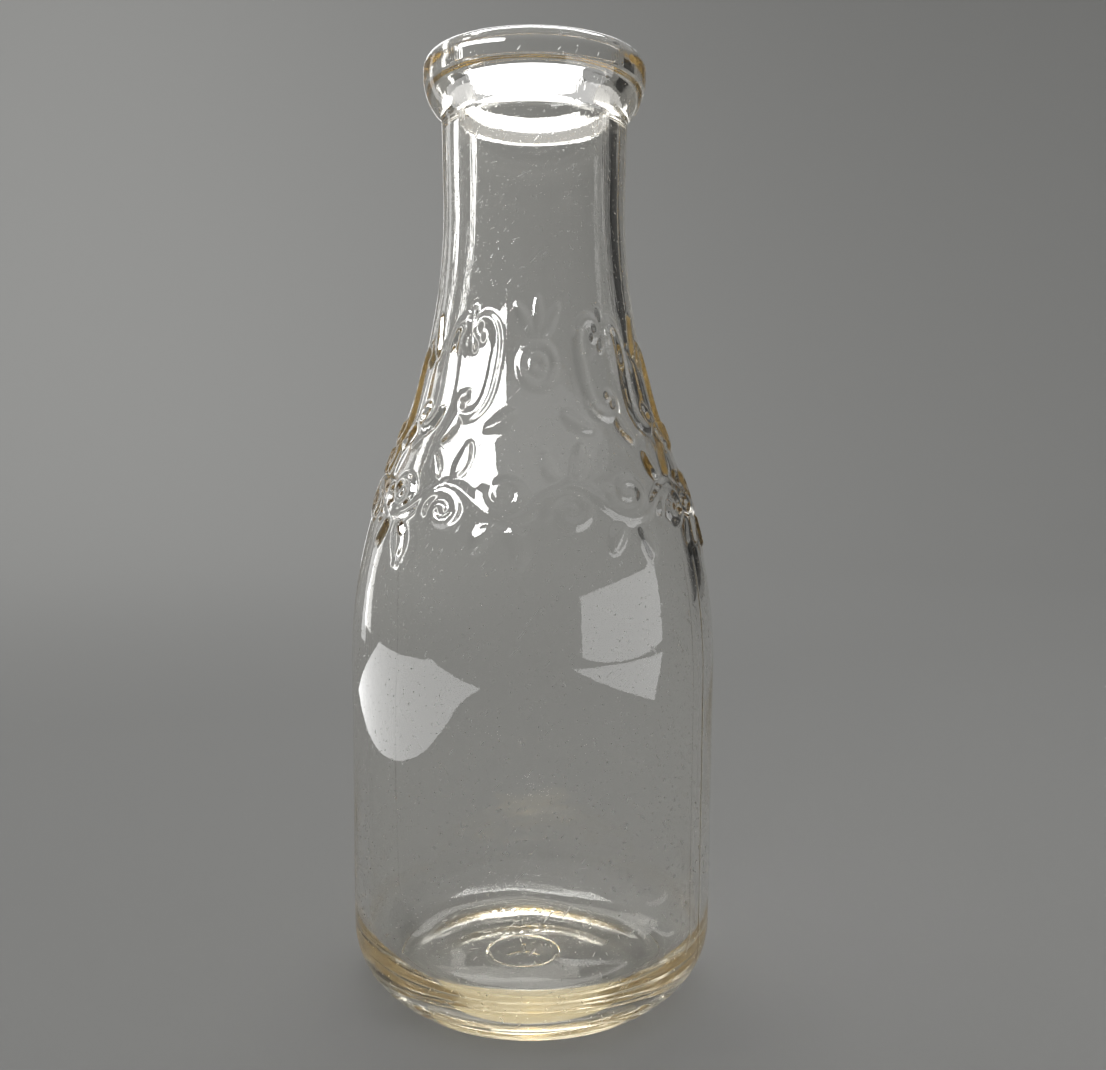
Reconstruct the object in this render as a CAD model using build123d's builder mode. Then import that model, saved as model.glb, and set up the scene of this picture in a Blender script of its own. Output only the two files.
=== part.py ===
from build123d import *
import os

# A quart milk bottle: one piece of moulded clear glass, open at the mouth.
# Millimetres, +Z up, origin at the centre of the ring that the bottle stands on.

# Outside, from the foot up
FOOT_R = 35.3               # outer edge of the ring it stands on
FOOT_WIDTH = 2.6            # that ring's flat width
HEEL_CORNER_Z = 6.7         # where the heel's slope would meet the body's wall
HEEL_ARC = 19.4             # radius of the heel, seen from the side
BODY_R = 48.55              # straight body
SHOULDER_CORNER_Z = 116.2   # where the body's wall would meet the shoulder's cone
SHOULDER_ARC = 142.0        # the shoulder's outward curve
NECK_CORNER_Z = 178.7       # where the shoulder's cone would meet the neck
NECK_ARC = 160.0            # the shoulder's inward curve, into the neck
NECK_R = 23.05              # neck at its narrowest
COLLAR_R = 24.05            # neck where it meets the bead

# Lip
HEIGHT = 246.6              # top of the rim
BEAD_Z = 229.8              # crease where the bead grows out of the neck
BEAD_R = 28.65              # widest part of the bead
BEAD_WIDEST_Z = 240.5       # lowest point of the bead's widest band
CREST_R = 23.9              # radius of the rim's top line
SEAT_R = 21.0               # wall round the seat of a 1 5/8 inch (41.3 mm) paper disc
SEAT_DEPTH = 6.2            # rim top to the ledge that the disc sits on
LEDGE_OUTER_ROUND = 0.5     # rounding where the ledge meets the seat wall
LEDGE_INNER_ROUND = 0.6     # rounding where the ledge drops into the throat
FOOT_ROUND = 1.2            # rounding of the foot ring's outer edge

# Glass
WALL = 3.9                  # thickness of the straight body
THROAT_R = 19.35            # straight bore of the neck
FLOOR_Z = 7.2               # inside floor
INNER_HEEL_ARC = 15.5       # inside corner between floor and wall
PUSH_UP = 1.6               # how far the underside is domed up inside the foot ring

# Valve mark: the faint ring that the mould's valve leaves under the base, a little off the axis
VALVE_R = 9.8
VALVE_X = -2.6
VALVE_Y = 3.2
VALVE_GROOVE_R = 0.45

FOOT_INNER_R = FOOT_R - FOOT_WIDTH
DOME_R = (FOOT_INNER_R**2 + PUSH_UP**2) / (2 * PUSH_UP)
VALVE_Z = PUSH_UP - (VALVE_R**2 + VALVE_X**2 + VALVE_Y**2) / (2 * DOME_R)
LEDGE_Z = HEIGHT - SEAT_DEPTH
BEAD_TOP_Z = HEIGHT - (BEAD_R - CREST_R)
SEAT_TOP_Z = HEIGHT - (CREST_R - SEAT_R)

os.makedirs("parts", exist_ok=True)

# The glass: its whole wall is one section, turned about the axis
with BuildPart() as bottle:
    with BuildSketch(Plane.XZ) as section:
        with BuildLine() as outline:
            TangentArc((0, PUSH_UP), (FOOT_INNER_R, 0), tangent=(1, 0))
            FilletPolyline(
                (FOOT_INNER_R, 0),
                (FOOT_R, 0),
                (BODY_R, HEEL_CORNER_Z),
                (BODY_R, SHOULDER_CORNER_Z),
                (NECK_R, NECK_CORNER_Z),
                (COLLAR_R, BEAD_Z),
                radius=[FOOT_ROUND, HEEL_ARC, SHOULDER_ARC, NECK_ARC],
            )
            TangentArc((BEAD_R, BEAD_WIDEST_Z), (COLLAR_R, BEAD_Z), tangent=(0, -1))
            Line((BEAD_R, BEAD_WIDEST_Z), (BEAD_R, BEAD_TOP_Z))
            TangentArc((BEAD_R, BEAD_TOP_Z), (CREST_R, HEIGHT), tangent=(0, 1))
            TangentArc((SEAT_R, SEAT_TOP_Z), (CREST_R, HEIGHT), tangent=(0, 1))
            FilletPolyline(
                (SEAT_R, SEAT_TOP_Z),
                (SEAT_R, LEDGE_Z),
                (THROAT_R, LEDGE_Z),
                (THROAT_R, NECK_CORNER_Z),
                (BODY_R - WALL, SHOULDER_CORNER_Z),
                (BODY_R - WALL, FLOOR_Z),
                (0, FLOOR_Z),
                radius=[
                    LEDGE_OUTER_ROUND,
                    LEDGE_INNER_ROUND,
                    NECK_ARC + WALL,
                    SHOULDER_ARC - WALL,
                    INNER_HEEL_ARC,
                ],
            )
            Line((0, FLOOR_Z), (0, PUSH_UP))
        make_face()
    revolve(axis=Axis.Z)
    with Locations((VALVE_X, VALVE_Y, VALVE_Z)):
        Torus(VALVE_R, VALVE_GROOVE_R, mode=Mode.SUBTRACT)

bottle.part.label = "bottle"
export_step(bottle.part, "parts/bottle.step")
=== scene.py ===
"""Looks for the glass milk bottle: a moulded glass wall with scrolls on its shoulder, on a studio floor."""
import math

import bpy
import numpy as np
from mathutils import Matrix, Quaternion, Vector


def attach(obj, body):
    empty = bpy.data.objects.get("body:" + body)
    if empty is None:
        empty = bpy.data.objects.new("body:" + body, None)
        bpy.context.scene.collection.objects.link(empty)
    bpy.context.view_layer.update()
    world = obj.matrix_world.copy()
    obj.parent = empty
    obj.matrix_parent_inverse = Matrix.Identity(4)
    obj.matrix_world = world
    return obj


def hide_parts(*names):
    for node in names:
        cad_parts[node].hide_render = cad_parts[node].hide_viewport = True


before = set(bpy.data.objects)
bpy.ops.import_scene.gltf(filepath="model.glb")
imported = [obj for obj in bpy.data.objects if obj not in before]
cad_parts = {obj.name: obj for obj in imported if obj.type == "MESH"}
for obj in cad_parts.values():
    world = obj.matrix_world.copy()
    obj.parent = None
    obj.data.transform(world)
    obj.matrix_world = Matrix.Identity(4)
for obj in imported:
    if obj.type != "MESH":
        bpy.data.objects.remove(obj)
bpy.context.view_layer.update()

MM = 0.001

# Outline of the glass, in millimetres: the CAD part's corners and the arcs that round them
FOOT_R = 35.3
FOOT_WIDTH = 2.6
FOOT_ROUND = 1.2
HEEL_CORNER_Z = 6.7
HEEL_ARC = 19.4
BODY_R = 48.55
SHOULDER_CORNER_Z = 116.2
SHOULDER_ARC = 142.0
NECK_CORNER_Z = 178.7
NECK_ARC = 160.0
NECK_R = 23.05
COLLAR_R = 24.05
HEIGHT = 246.6
BEAD_Z = 229.8
BEAD_R = 28.65
BEAD_WIDEST_Z = 240.5
CREST_R = 23.9
SEAT_R = 21.0
SEAT_DEPTH = 6.2
THROAT_R = 19.35
LEDGE_OUTER_ROUND = 0.5
LEDGE_INNER_ROUND = 0.6
WALL = 3.9
FLOOR_Z = 7.2
INNER_HEEL_ARC = 15.5
PUSH_UP = 1.6
VALVE_R = 9.8
VALVE_X = -2.6
VALVE_Y = 3.2
VALVE_GROOVE = 0.35
VALVE_HALF_WIDTH = 0.6
TOOL_MARK_R = 5.2
TOOL_MARK_DEPTH = 0.2

# Mesh: rows lie this far apart along the outline, and finer where the mould left relief
ROW = 2.6
HEEL_ROW = 1.2
LIP_ROW = 0.75
SCROLL_ROW = 0.62
BEADING_ROW = 0.6
VALVE_ROW = 0.45
PARTING_ROW = 0.2
SHORTEST_ROW = 0.2
SCROLL_BAND = (118.0, 189.0)
BEADING_BAND = (9.0, 17.0)
HEEL_TOP_Z = 24
LIP_MARGIN = 3
VALVE_MARGIN = 5.5
PARTING_MARGIN = 1.2

# No two vertices of a row are closer together than this, in degrees
CLOSEST = 0.3

# The studio, in metres
WALL_R = 1.8
WALL_HEIGHT = 1.35
COVE_R = 0.9
FLAG_AZIMUTH = 138
FLAG_DISTANCE = 1.1
FLAG_WIDTH = 0.45
FLAG_HEIGHT = 0.8

# Azimuths run from the front (-Y) towards +X, in degrees
SECTOR = 1.9
SCROLL_SECTOR = 0.88
SCROLL_SPREAD = 88.0
SCROLL_AZIMUTH = 2.0
BEADING_SECTOR = 0.75

# The two lines where the halves of the mould met
SEAMS = (63.0, 243.0)
SEAM_HEIGHT = 0.12
SEAM_HALF_WIDTH = 0.42
SEAM_EXTRA = (-0.9, -0.45, 0.0, 0.45, 0.9)

# How far the slow unevenness of each surface goes, and how many waves it is made of
OUTER_WAVES = 0.025
INNER_WAVES = 0.22
WAVES = 26
OUTER_SEED = 5
INNER_SEED = 8

# The fine ring round the heel where the bottom plate met the mould's body
PARTING_R = 38.3
PARTING_HEIGHT = 0.28
PARTING_HALF_WIDTH = 0.38

# Relief on the shoulder, raised from the glass
SCROLL_HEIGHT = 0.75
SCROLL_SOFT_EDGE = 0.9
SCROLL_Z = 152.5
CALM_HALF_WIDTH = 26
SHOULDER_MEAN_R = 38.0
SHOULDER_SLOPE = 17.0
VINE_V = -19.0
VINE_SWING = 4.0
VINE_BAY = 14.5
VINE_REACH = 58.0

# A row of raised beads round the back of the heel
BEAD_ROW_Z = 13.0
BEAD_ROW_AZIMUTH = 172.0
BEAD_ROW_SPREAD = 32.0
BEAD_ROW_PITCH = 4.0
BEAD_ROW_HEIGHT = 0.4
BEAD_REACH = 1.5
BEAD_FLATTENING = 0.6

# The glass: how it bends light, and the colour that it takes on with depth
IOR = 1.52
TINT = (0.80, 0.68, 0.36, 1)
TINT_DENSITY = 8.0

# Bands where bottles rubbed in their crate, in metres up: begins, full, starts to fade, ends
WORN_BANDS = ((0.006, 0.014, 0.02, 0.052), (0.092, 0.104, 0.114, 0.134))

# Light is piped round the heel and up the wall by many reflections before it gets out
BOUNCES = 80

# The camera: its lens in millimetres, its place in metres and its turns in degrees
LENS = 37.7
SENSOR_WIDTH = 36.0
CAMERA_PLACE = (0, -0.3096, 0.1552)
PAN = 0.98
PITCH = 5.99
ROLL = 0.27


# ---------------------------------------------------------------- outline of the glass
def arc(centre, start, end, steps=60):
    """Points along the shorter arc about centre from start to end."""
    centre, start, end = (np.array(p, float) for p in (centre, start, end))
    radius = np.linalg.norm(start - centre)
    first = math.atan2(*(start - centre)[::-1])
    turn = math.atan2(*(end - centre)[::-1]) - first
    turn = (turn + math.pi) % (2 * math.pi) - math.pi
    angles = first + turn * np.linspace(0, 1, steps)
    return [centre + radius * np.array([math.cos(a), math.sin(a)]) for a in angles]


def rounded(points, radii):
    """The path through the points, with an arc of the given radius at each inner corner."""
    points = [np.array(p, float) for p in points]
    path = [points[0]]
    for before, corner, after, radius in zip(points, points[1:], points[2:], radii):
        to_before = (before - corner) / np.linalg.norm(before - corner)
        to_after = (after - corner) / np.linalg.norm(after - corner)
        half = math.acos(float(np.clip(to_before @ to_after, -1, 1))) / 2
        reach = radius / math.tan(half)
        middle = (to_before + to_after) / np.linalg.norm(to_before + to_after)
        path += arc(corner + middle * radius / math.sin(half), corner + to_before * reach,
                    corner + to_after * reach)
    path.append(points[-1])
    return path


def outside():
    """From the middle of the underside, round the foot and up to the rim's crest."""
    foot_inner = FOOT_R - FOOT_WIDTH
    dome = (foot_inner**2 + PUSH_UP**2) / (2 * PUSH_UP)
    under = arc((0, PUSH_UP - dome), (0, PUSH_UP), (foot_inner, 0))
    wall = rounded(
        [(foot_inner, 0), (FOOT_R, 0), (BODY_R, HEEL_CORNER_Z), (BODY_R, SHOULDER_CORNER_Z),
         (NECK_R, NECK_CORNER_Z), (COLLAR_R, BEAD_Z)],
        [FOOT_ROUND, HEEL_ARC, SHOULDER_ARC, NECK_ARC])
    out, up = BEAD_R - COLLAR_R, BEAD_WIDEST_Z - BEAD_Z
    bulge = (out**2 + up**2) / (2 * out)
    bead = arc((BEAD_R - bulge, BEAD_WIDEST_Z), (COLLAR_R, BEAD_Z), (BEAD_R, BEAD_WIDEST_Z))
    bead_top = HEIGHT - (BEAD_R - CREST_R)
    top = arc((CREST_R, bead_top), (BEAD_R, bead_top), (CREST_R, HEIGHT))
    return under + wall[1:] + bead[1:] + top


def inside():
    """From the rim's crest down the mouth, the neck and the body to the middle of the floor."""
    seat_top = HEIGHT - (CREST_R - SEAT_R)
    ledge = HEIGHT - SEAT_DEPTH
    crest = arc((CREST_R, seat_top), (CREST_R, HEIGHT), (SEAT_R, seat_top))
    wall = rounded(
        [(SEAT_R, seat_top), (SEAT_R, ledge), (THROAT_R, ledge), (THROAT_R, NECK_CORNER_Z),
         (BODY_R - WALL, SHOULDER_CORNER_Z), (BODY_R - WALL, FLOOR_Z), (0, FLOOR_Z)],
        [LEDGE_OUTER_ROUND, LEDGE_INNER_ROUND, NECK_ARC + WALL, SHOULDER_ARC - WALL, INNER_HEEL_ARC])
    return crest[1:] + wall[1:]


def spacing(r, z, is_outside):
    """How far apart the mesh rows lie at a point of the outline."""
    if z > BEAD_Z - LIP_MARGIN:
        return LIP_ROW if (is_outside or z > HEIGHT - SEAT_DEPTH - LIP_MARGIN) else ROW
    if is_outside and SCROLL_BAND[0] < z < SCROLL_BAND[1]:
        return SCROLL_ROW
    if is_outside and r < VALVE_R + VALVE_MARGIN:
        return VALVE_ROW
    if is_outside and abs(r - PARTING_R) < PARTING_MARGIN and z < HEEL_CORNER_Z:
        return PARTING_ROW
    if is_outside and r > FOOT_R and BEADING_BAND[0] < z < BEADING_BAND[1]:
        return BEADING_ROW
    return HEEL_ROW if z < HEEL_TOP_Z else ROW


def resample(path, is_outside):
    """Points along a finely sampled path, as far apart as spacing() says. Both ends are kept."""
    path = np.array(path)
    lengths = np.concatenate([[0], np.cumsum(np.linalg.norm(np.diff(path, axis=0), axis=1))])
    stops, at = [0.0], 0.0
    while at < lengths[-1]:
        r, z = (float(np.interp(at, lengths, path[:, k])) for k in (0, 1))
        at += spacing(r, z, is_outside)
        stops.append(min(at, lengths[-1]))
    if stops[-1] - stops[-2] < SHORTEST_ROW:
        stops.pop(-2)
    return np.stack([np.interp(stops, lengths, path[:, k]) for k in (0, 1)], axis=1)


# ---------------------------------------------------------------- relief and unevenness
def smooth(x):
    """A smooth step from 0 to 1."""
    x = np.clip(x, 0, 1)
    return x * x * (3 - 2 * x)


def from_azimuth(azimuth, middle):
    """Degrees from a middle azimuth, between -180 and 180."""
    return (azimuth - middle + 180) % 360 - 180


def scroll(u, v, length, lean, turn, s_shaped):
    """A stroke that curls up at both ends, as points (u, v, half width): an S, or else a C."""
    t = np.linspace(-1, 1, 120)
    angle = np.radians(lean + turn * (np.abs(t) ** 2.6 if s_shaped else np.sign(t) * np.abs(t) ** 2.6))
    path = np.stack([np.cumsum(np.cos(angle)), np.cumsum(np.sin(angle))], axis=1) * length / len(t)
    path -= (path[len(t) // 2] + path[len(t) // 2 - 1]) / 2
    return np.column_stack([path + (u, v), 1.9 - 0.75 * np.abs(t)])


def spiral(u, v, radius, start, turns):
    """A stroke that winds in from radius to its middle, (u, v). Positive turns run anticlockwise."""
    t = np.linspace(0, 1, 70)
    angle = math.radians(start) + 2 * math.pi * turns * t
    reach = radius * (1 - t) + 0.6 * t
    return np.column_stack([u + reach * np.cos(angle), v + reach * np.sin(angle), 1.5 - 0.5 * t])


def ring(u, v, radius, width):
    """A closed circular stroke."""
    t = np.linspace(0, 2 * math.pi, 60)
    return np.column_stack([u + radius * np.cos(t), v + radius * np.sin(t), np.full(len(t), width)])


def leaf(u, v, length, direction, bend=0.0, width=2.1):
    """A teardrop with a pointed tip."""
    t = np.linspace(0, 1, 30)
    along = np.radians(direction + bend * t)
    path = np.stack([np.cumsum(np.cos(along)), np.cumsum(np.sin(along))], axis=1) * length / len(t)
    return np.column_stack([path + (u, v), width * (0.3 + 0.7 * np.sin(math.pi * t**0.8))])


def vine():
    """The lower tier: a waving stem with a spiral and a pair of leaves in each bay."""
    u = np.linspace(-VINE_REACH, VINE_REACH, 260)
    wave = math.pi / VINE_BAY
    strokes = [np.column_stack([u, VINE_V + VINE_SWING * np.sin(u * wave), np.full(len(u), 1.35)])]
    bays = round(VINE_REACH / VINE_BAY)
    for k in range(-bays, bays):
        middle, up = (k + 0.5) * VINE_BAY, (-1) ** k
        strokes.append(spiral(middle - 0.5, VINE_V - up * 2.2, 5.2, 180, -up * 1.4))
        strokes.append(leaf(middle + 1.5, VINE_V + up * 6.5, 7.5, up * 60, up * 30))
        strokes.append(leaf(middle - 3.5, VINE_V + up * 6, 6, up * 125, up * -20, 1.8))
    return strokes


def crest():
    """The upper tier: scrolls and leaves either side of a ringed boss."""
    strokes = [ring(0, 15, 5.3, 1.1), ring(0, 15, 1.9, 1.2)]
    for direction in (52, 90, 128):
        strokes.append(leaf(2.4 * math.cos(math.radians(direction)), 22.5, 9, direction))
    for side in (-1, 1):
        strokes.append(scroll(side * 14, 14, 46, 90 + side * 8, side * -265, False))
        strokes.append(scroll(side * 31, 13, 48, 90 - side * 6, side * 265, True))
        strokes.append(scroll(side * 48, 8, 44, 90 - side * 14, side * 265, True))
        for u, v, length, direction, bend in (
                (22, 19, 10, 70, 30), (23, 3, 8, -70, 20), (39, 18, 10, 60, 30), (40, 1, 8, -60, 20),
                (7, 3, 8, -40, 20)):
            strokes.append(leaf(side * u, v, length, 90 + side * (direction - 90), side * bend))
    return strokes


# Plain ornament on the shoulder, and no lettering
STROKES = np.concatenate(vine() + crest())


def scrolls(azimuth, z):
    """Height of the shoulder's relief, which is lower in the middle of the front."""
    u = np.radians(from_azimuth(azimuth, SCROLL_AZIMUTH)) * SHOULDER_MEAN_R
    v = np.full_like(u, (z - SCROLL_Z) / math.cos(math.radians(SHOULDER_SLOPE)))
    height = np.zeros_like(u)
    near = np.abs(u) < math.radians(SCROLL_SPREAD) * SHOULDER_MEAN_R
    apart = np.hypot(u[near, None] - STROKES[:, 0], v[near, None] - STROKES[:, 1])
    inside_stroke = 1 - apart / (STROKES[:, 2] + SCROLL_SOFT_EDGE)
    height[near] = SCROLL_HEIGHT * smooth(1.15 * inside_stroke).max(axis=1)
    return height * (0.5 + 0.5 * smooth(np.abs(u) / CALM_HALF_WIDTH))


def beading(azimuth, z):
    """A short row of raised beads round the back, above the heel."""
    offset = from_azimuth(azimuth, BEAD_ROW_AZIMUTH)
    nearest = np.round(offset / BEAD_ROW_PITCH) * BEAD_ROW_PITCH
    away = np.hypot(np.radians(offset - nearest) * BODY_R, (z - BEAD_ROW_Z) * BEAD_FLATTENING)
    return BEAD_ROW_HEIGHT * smooth(1.25 - away / BEAD_REACH) * (np.abs(nearest) <= BEAD_ROW_SPREAD)


def seams(azimuth, z):
    """The mould's two fine upright lines, from above the heel to below the bead."""
    height = np.zeros_like(azimuth)
    for seam in SEAMS:
        across = np.radians(from_azimuth(azimuth, seam)) * BODY_R
        height = np.maximum(height, SEAM_HEIGHT * smooth(1.15 - np.abs(across) / SEAM_HALF_WIDTH))
    return height * smooth((z - 8) / 6) * smooth((BEAD_Z - z) / 3)


def ripples(azimuth, along, seed, strength):
    """Slow unevenness of glass that cooled on its own: a few waves round and along the wall."""
    draw = np.random.default_rng(seed)
    total = np.zeros_like(azimuth)
    for _ in range(WAVES):
        turns = draw.integers(0, 9)
        length = draw.uniform(16, 110)
        size = draw.uniform(0.3, 1.0) * min(1.0, length / 60)
        phase = along * 2 * math.pi / length + draw.uniform(0, 6.3)
        total += size * np.cos(np.radians(azimuth) * turns + phase)
    return strength * np.clip(total / 5.0, -1, 1)


def valve_mark(azimuth, r):
    """The valve's ring pressed into the underside, with a plain three-armed tool mark inside it."""
    x = r * np.sin(np.radians(azimuth)) - VALVE_X
    y = -r * np.cos(np.radians(azimuth)) - VALVE_Y
    reach = np.hypot(x, y)
    groove = VALVE_GROOVE * smooth(1 - np.abs(reach - VALVE_R) / VALVE_HALF_WIDTH)
    arms = np.abs(np.sin(1.5 * np.arctan2(x, y))) * reach
    ends = smooth((TOOL_MARK_R - reach) / 0.8) * smooth((reach - 0.6) / 0.8)
    return -groove - TOOL_MARK_DEPTH * smooth((1.0 - arms) / 0.7) * ends


# ---------------------------------------------------------------- the glass
def azimuths(step, finer=None):
    """Azimuths of a mesh row: even, with the seams' own, and closer in finer = (middle, spread, step)."""
    extra = [seam + offset for seam in SEAMS for offset in SEAM_EXTRA]
    even = list(np.arange(0, 360, step))
    if finer:
        middle, spread, fine_step = finer
        even = [a for a in even if abs(from_azimuth(a, middle)) > spread]
        extra += list((middle + np.arange(-spread, spread, fine_step)) % 360)
    extra = np.sort(extra)
    previous = np.append(extra[-1] - 360, extra[:-1])
    extra = [a for a, before in zip(extra, previous) if a - before > CLOSEST]
    even = [a for a in even if np.abs(from_azimuth(np.array(extra), a)).min() > CLOSEST]
    return np.sort(np.array(even + extra))


PLAIN_SECTORS = azimuths(SECTOR)
SCROLL_SECTORS = azimuths(SECTOR, (SCROLL_AZIMUTH, SCROLL_SPREAD, SCROLL_SECTOR))
BEADING_SECTORS = azimuths(SECTOR, (BEAD_ROW_AZIMUTH, BEAD_ROW_SPREAD + 3, BEADING_SECTOR))


def zipper(first, azimuths_a, second, azimuths_b):
    """Faces between two neighbouring rows, whose first vertices and azimuths are given."""
    n, m = len(azimuths_a), len(azimuths_b)
    if n == m:
        return [(first + i, first + (i + 1) % n, second + (i + 1) % n, second + i) for i in range(n)]
    faces = []
    i = j = 0
    while i < n or j < m:
        ahead_a = azimuths_a[i + 1] if i + 1 < n else azimuths_a[0] + 360 + (i >= n) * 360
        ahead_b = azimuths_b[j + 1] if j + 1 < m else azimuths_b[0] + 360 + (j >= m) * 360
        if m == 1 or (n > 1 and ahead_a <= ahead_b):
            faces.append((first + i % n, first + (i + 1) % n, second + j % m))
            i += 1
        else:
            faces.append((first + i % n, second + (j + 1) % m, second + j % m))
            j += 1
        if (n == 1 and j == m) or (m == 1 and i == n):
            break
    return faces


def outer_push(azimuth, r, z, along):
    """How far the outer surface stands off its outline, in millimetres."""
    if r < VALVE_R + VALVE_MARGIN and z < PUSH_UP + 1:
        return valve_mark(azimuth, r)
    if z < HEEL_CORNER_Z and r > FOOT_R:
        ridge = PARTING_HEIGHT * smooth(1.2 - abs(r - PARTING_R) / PARTING_HALF_WIDTH)
        return np.full(len(azimuth), ridge)
    free = smooth((z - 1.5) / 10) * smooth((HEIGHT - 4 - z) / 4)
    push = (ripples(azimuth, along, OUTER_SEED, OUTER_WAVES) - OUTER_WAVES) * free
    if z > BEAD_Z:
        return push
    if SCROLL_BAND[0] < z < SCROLL_BAND[1]:
        push = push + scrolls(azimuth, z)
    if BEADING_BAND[0] < z < BEADING_BAND[1]:
        push = push + beading(azimuth, z)
    return push + seams(azimuth, z)


def inner_push(azimuth, r, z, along):
    """How far the inner surface stands off its outline, in millimetres. It is calmer in the neck."""
    free = smooth(r / 20) * smooth((HEIGHT - SEAT_DEPTH - 2 - z) / 6)
    calm_neck = 1 - 0.75 * smooth((z - SHOULDER_CORNER_Z) / 50)
    return ripples(azimuth, along, INNER_SEED, INNER_WAVES) * free * calm_neck


def row_sectors(r, z, is_outer):
    """The azimuths of the mesh row at a point of the outline. A row on the axis is a single vertex."""
    if is_outer and SCROLL_BAND[0] < z < SCROLL_BAND[1]:
        return SCROLL_SECTORS
    if is_outer and r > FOOT_R and BEADING_BAND[0] < z < BEADING_BAND[1]:
        return BEADING_SECTORS
    return PLAIN_SECTORS if r > 1e-6 else np.zeros(1)


def glass_mesh():
    """The wall as one closed surface, from the middle of the underside over the rim to the inside floor."""
    outer, inner = resample(outside(), True), resample(inside(), False)
    outline = np.concatenate([outer, inner[1:]])
    tangent = np.gradient(outline, axis=0)
    tangent /= np.linalg.norm(tangent, axis=1)[:, None]
    along = np.concatenate([[0], np.cumsum(np.linalg.norm(np.diff(outline, axis=0), axis=1))])
    points, faces, total, before = [], [], 0, None
    for i, (r, z) in enumerate(outline):
        is_outer = i < len(outer)
        azimuth = row_sectors(r, z, is_outer)
        push = (outer_push if is_outer else inner_push)(azimuth, r, z, along[i])
        out = r + tangent[i, 1] * push
        turn = np.radians(azimuth)
        points.append(np.column_stack([out * np.sin(turn), -out * np.cos(turn), z - tangent[i, 0] * push]))
        if before:
            faces += zipper(*before, total, azimuth)
        before = (total, azimuth)
        total += len(azimuth)
    mesh = bpy.data.meshes.new("bottle_glass")
    mesh.from_pydata((np.concatenate(points) * MM).tolist(), [], faces)
    mesh.validate()
    mesh.shade_smooth()
    return mesh


def add(nodes, kind, **settings):
    """A new shader node with its settings and, by name, its input values."""
    node = nodes.new("ShaderNode" + kind)
    for name, value in settings.items():
        if hasattr(node, name):
            setattr(node, name, value)
        else:
            node.inputs[name.replace("_", " ").capitalize()].default_value = value
    return node


def stretched(tree, places, scale, turn=(0, 0, 0)):
    """Positions in metres, seen in axes turned by the given angles and then scaled along each of them."""
    mapping = add(tree.nodes, "Mapping", vector_type="TEXTURE", Rotation=turn, Scale=[1 / k for k in scale])
    tree.links.new(places, mapping.inputs["Vector"])
    return mapping.outputs["Vector"]


def noise(tree, vector, scale, detail=2.0):
    """Cloudy values between 0 and 1."""
    node = add(tree.nodes, "TexNoise", Scale=scale, Detail=detail)
    tree.links.new(vector, node.inputs["Vector"])
    return node.outputs["Fac"]


def between(tree, value, start, end, low=0.0, high=1.0):
    """The value's way from start to end, as a smooth step from low to high."""
    node = add(tree.nodes, "MapRange", interpolation_type="SMOOTHSTEP")
    for name, number in (("From Min", start), ("From Max", end), ("To Min", low), ("To Max", high)):
        node.inputs[name].default_value = number
    tree.links.new(value, node.inputs["Value"])
    return node.outputs["Result"]


def combine(tree, operation, first, second):
    """A sum, product or other operation on two values, each a socket or a number."""
    node = add(tree.nodes, "Math", operation=operation)
    for socket, value in zip(node.inputs, (first, second)):
        if isinstance(value, float):
            socket.default_value = value
        else:
            tree.links.new(value, socket)
    return node.outputs[0]


def scratches(tree, places):
    """Fine scratches in three directions, each a thin slice of a long-drawn noise. 1 on a scratch."""
    total = None
    for turn, across in (((0, 0.7, 0.1), 1500), ((0.2, 1.3, 0), 1700), ((0.1, -0.6, 0.6), 1600)):
        drawn = noise(tree, stretched(tree, places, (across, across, 240), turn), 1.0, 0.0)
        line = between(tree, drawn, 0.80, 0.85)
        total = line if total is None else combine(tree, "MAXIMUM", total, line)
    return total


def specks(tree, places):
    """Tiny chips and dust, one in some of the cells 3.5 mm across. 1 on a speck."""
    cells = add(tree.nodes, "TexVoronoi", Scale=290.0)
    tree.links.new(places, cells.inputs["Vector"])
    chance = add(tree.nodes, "SeparateColor")
    tree.links.new(cells.outputs["Color"], chance.inputs[0])
    size = between(tree, chance.outputs[0], 0.45, 1.0, 0.0, 0.085)
    return combine(tree, "LESS_THAN", cells.outputs["Distance"], size)


def worn_bands(tree, height):
    """The rubbed bands round the top of the heel and below the shoulder. 1 when worn."""
    bands = []
    for begins, full, fades, ends in WORN_BANDS:
        lower, upper = between(tree, height, begins, full), between(tree, height, ends, fades)
        bands.append(combine(tree, "MULTIPLY", lower, upper))
    return combine(tree, "MAXIMUM", *bands)


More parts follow.
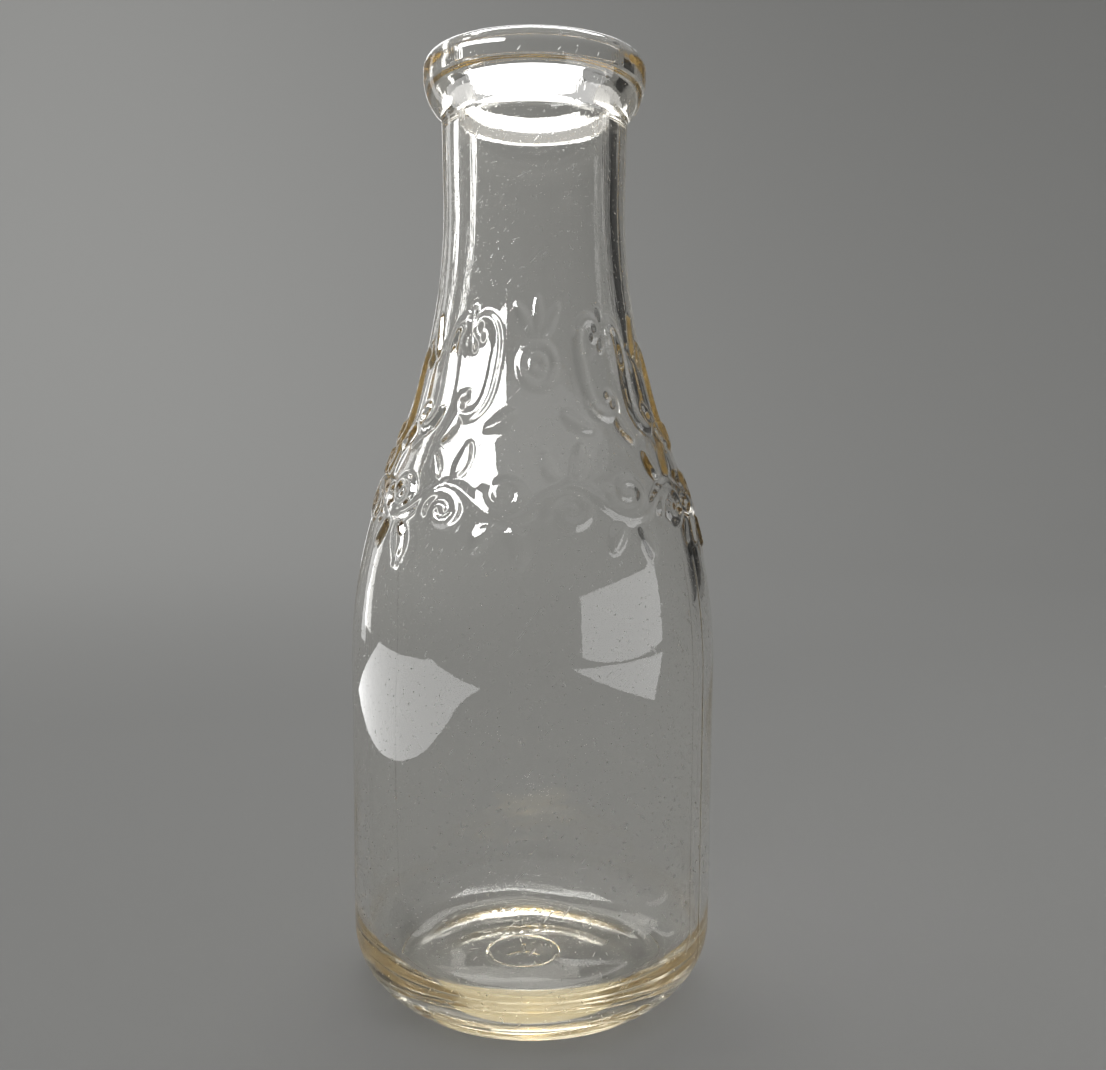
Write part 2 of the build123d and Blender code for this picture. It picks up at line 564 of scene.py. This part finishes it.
def glass_material():
    """Clear soda-lime glass, straw-tinted through its depth, with worn bands, scratches and specks."""
    mat = bpy.data.materials.new("clear_glass")
    mat.use_nodes = True
    tree = mat.node_tree
    shader, links = tree.nodes["Principled BSDF"], tree.links
    shader.inputs["Base Color"].default_value = (1.0, 1.0, 0.995, 1)
    shader.inputs["Transmission Weight"].default_value = 1.0
    shader.inputs["IOR"].default_value = IOR
    tint = add(tree.nodes, "VolumeAbsorption", Color=TINT, Density=TINT_DENSITY)
    links.new(tint.outputs[0], tree.nodes["Material Output"].inputs["Volume"])

    places = add(tree.nodes, "TexCoord").outputs["Object"]
    split = add(tree.nodes, "SeparateXYZ")
    links.new(places, split.inputs[0])
    height = split.outputs["Z"]
    patchy = between(tree, noise(tree, places, 60.0, 4.0), 0.42, 0.7)
    rubbed = combine(tree, "MULTIPLY", worn_bands(tree, height), patchy)
    marks = combine(tree, "MAXIMUM", combine(tree, "MULTIPLY", scratches(tree, places), 0.6),
                    specks(tree, places))
    dusty = combine(tree, "MULTIPLY", rubbed, between(tree, noise(tree, places, 2600.0, 1.0), 0.55, 0.72))
    rough = combine(tree, "MAXIMUM", combine(tree, "MULTIPLY", marks, 0.5),
                    combine(tree, "MULTIPLY", dusty, 0.22))
    links.new(rough, shader.inputs["Roughness"])

    drawn = noise(tree, stretched(tree, places, (620, 620, 9)), 1.0, 3.0)
    on_neck = between(tree, height, 0.13, 0.19, 0.25, 1.6)
    lines = combine(tree, "MULTIPLY", drawn, on_neck)
    surface = combine(tree, "ADD", lines, combine(tree, "MULTIPLY", noise(tree, places, 210.0, 2.0), 0.35))
    dented = combine(tree, "SUBTRACT", surface, combine(tree, "MULTIPLY", marks, 1.2))
    bump = add(tree.nodes, "Bump", Strength=1.0, Distance=0.000022)
    links.new(dented, bump.inputs["Height"])
    links.new(bump.outputs["Normal"], shader.inputs["Normal"])
    return mat


def build_bottle():
    """The glass, in a collection of its own that the lights meant only for it are linked to."""
    glass = bpy.data.objects.new("bottle_glass", glass_mesh())
    bpy.context.scene.collection.objects.link(glass)
    glass.data.materials.append(glass_material())
    bpy.data.collections.new("glass_only").objects.link(glass)
    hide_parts("bottle")
    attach(glass, "root")


# ---------------------------------------------------------------- studio
def plain(name, colour):
    """A matt material of one colour, for the studio."""
    mat = bpy.data.materials.new(name)
    mat.use_nodes = True
    shader = mat.node_tree.nodes["Principled BSDF"]
    shader.inputs["Base Color"].default_value = (*colour, 1)
    shader.inputs["Roughness"].default_value = 0.9
    shader.inputs["Specular IOR Level"].default_value = 0.2
    return mat


def build_floor():
    """A round floor that curves up into a wall, pale and plain, the same from every side."""
    profile = rounded([(0, 0), (WALL_R, 0), (WALL_R, WALL_HEIGHT)], [COVE_R])
    turns = 96
    points, faces = [], []
    for i, (r, z) in enumerate(profile):
        for k in range(turns):
            turn = 2 * math.pi * k / turns
            points.append((r * math.sin(turn), -r * math.cos(turn), z))
            if i:
                after = (k + 1) % turns
                lower, upper = (i - 1) * turns, i * turns
                faces.append([lower + k, upper + k, upper + after, lower + after])
    mesh = bpy.data.meshes.new("floor")
    mesh.from_pydata(points, [], faces)
    mesh.shade_smooth()
    floor = bpy.data.objects.new("floor", mesh)
    bpy.context.scene.collection.objects.link(floor)
    floor.data.materials.append(plain("floor_pale", (0.42, 0.42, 0.41)))


def build_flag():
    """A black card beside the glass, out of the picture, that puts a dark line along its right edge."""
    half = FLAG_WIDTH / 2
    mesh = bpy.data.meshes.new("flag_black")
    mesh.from_pydata([(-half, 0, 0), (half, 0, 0), (half, 0, FLAG_HEIGHT), (-half, 0, FLAG_HEIGHT)], [],
                     [(0, 1, 2, 3)])
    flag = bpy.data.objects.new("flag_black", mesh)
    flag.location = around(FLAG_AZIMUTH, FLAG_DISTANCE, 0.002)
    flag.rotation_euler = (0, 0, math.radians(FLAG_AZIMUTH))
    flag.visible_camera = flag.visible_diffuse = flag.visible_shadow = False
    bpy.context.scene.collection.objects.link(flag)
    flag.data.materials.append(plain("flag_black", (0.05, 0.05, 0.05)))


def around(azimuth, distance, z):
    """A place at an azimuth from the front, in metres."""
    turn = math.radians(azimuth)
    return (distance * math.sin(turn), -distance * math.cos(turn), z)


def softbox(name, place, size, radiance, aim=(0, 0, 0.13), on_glass_only=False, reflected_only=False):
    """A soft light whose face has the given brightness, whatever its size. Returns its light data."""
    data = bpy.data.lights.new(name, "AREA")
    data.shape = "RECTANGLE"
    data.size, data.size_y = size
    data.energy = radiance * math.pi * size[0] * size[1]
    light = bpy.data.objects.new(name, data)
    light.location = place
    light.rotation_euler = (Vector(aim) - Vector(place)).to_track_quat("-Z", "Y").to_euler()
    light.visible_camera = False
    light.visible_transmission = not reflected_only
    if on_glass_only:
        light.light_linking.receiver_collection = bpy.data.collections["glass_only"]
    bpy.context.scene.collection.objects.link(light)
    return data


def build_lights():
    """Soft light on everything, then the panels that only the glass sees, some only as reflections."""
    softbox("overhead", (0, 0.32, 1.2), (0.5, 0.3), 2.5, aim=(0, 0.1, 0))
    softbox("wall_glow", around(-150, 0.8, 1.0), (0.3, 0.3), 12, aim=(-0.7, 1.5, 0.6))
    for name, place, size, radiance, aim in (
            ("panel_back", around(-171, 1.0, 0.83), (0.77, 0.40), 1.9, (0, 0, 0.24)),
            ("panel_top", (0, 0.36, 1.0), (0.8, 0.22), 12, (0, 0, 0)),
            ("strip_back", around(-162, 0.9, 0.30), (0.05, 0.56), 1.7, (0, 0, 0.30)),
            ("strip_left", around(-128, 0.7, 0.28), (0.09, 0.56), 1.7, (0, 0, 0.28))):
        softbox(name, place, size, radiance, aim, on_glass_only=True)
    for name, place, size, radiance, aim in (
            ("window_left", around(-57, 0.82, 0.70), (0.84, 0.25), 26, (0, 0, 0.16)),
            ("card_left", (-0.56, -0.10, 0.002), (0.60, 0.70), 3.6, (-0.56, -0.10, 1)),
            ("card_right", (0.69, -0.50, 0.002), (0.64, 0.80), 3.2, (0.69, -0.50, 1)),
            ("screen_right", around(57, 1.0, 0.155), (1.06, 0.31), 3.2, (0, 0, 0.155))):
        softbox(name, place, size, radiance, aim, on_glass_only=True, reflected_only=True)
    glow = softbox("glow_under_heel", (0, -0.038, 0.0004), (0.064, 0.018), 0.36, (0, -0.038, 1),
                   on_glass_only=True)
    glow.shape = "ELLIPSE"
    glow.color = (1.0, 0.82, 0.42)
    world = bpy.data.worlds.new("studio")
    world.use_nodes = True
    background = world.node_tree.nodes["Background"]
    background.inputs["Color"].default_value = (0.5, 0.5, 0.5, 1)
    background.inputs["Strength"].default_value = 1.15
    bpy.context.scene.world = world


def build_camera():
    """Close in front, at about two thirds of the bottle's height, looking down."""
    data = bpy.data.cameras.new("camera")
    data.lens = LENS
    data.sensor_width = SENSOR_WIDTH
    camera = bpy.data.objects.new("camera", data)
    camera.location = CAMERA_PLACE
    pan, pitch, roll = math.radians(PAN), math.radians(PITCH), math.radians(ROLL)
    ahead = Vector((math.sin(pan) * math.cos(pitch), math.cos(pan) * math.cos(pitch), -math.sin(pitch)))
    turn = ahead.to_track_quat("-Z", "Y") @ Quaternion((0, 0, 1), roll)
    camera.rotation_euler = turn.to_euler()
    bpy.context.scene.collection.objects.link(camera)
    bpy.context.scene.camera = camera


build_camera()
build_floor()
build_bottle()
build_flag()
build_lights()

bpy.context.scene.view_settings.view_transform = "Standard"
bpy.context.scene.cycles.glossy_bounces = BOUNCES
bpy.context.scene.cycles.transmission_bounces = BOUNCES
bpy.context.scene.cycles.max_bounces = BOUNCES

bpy.context.view_layer.update()
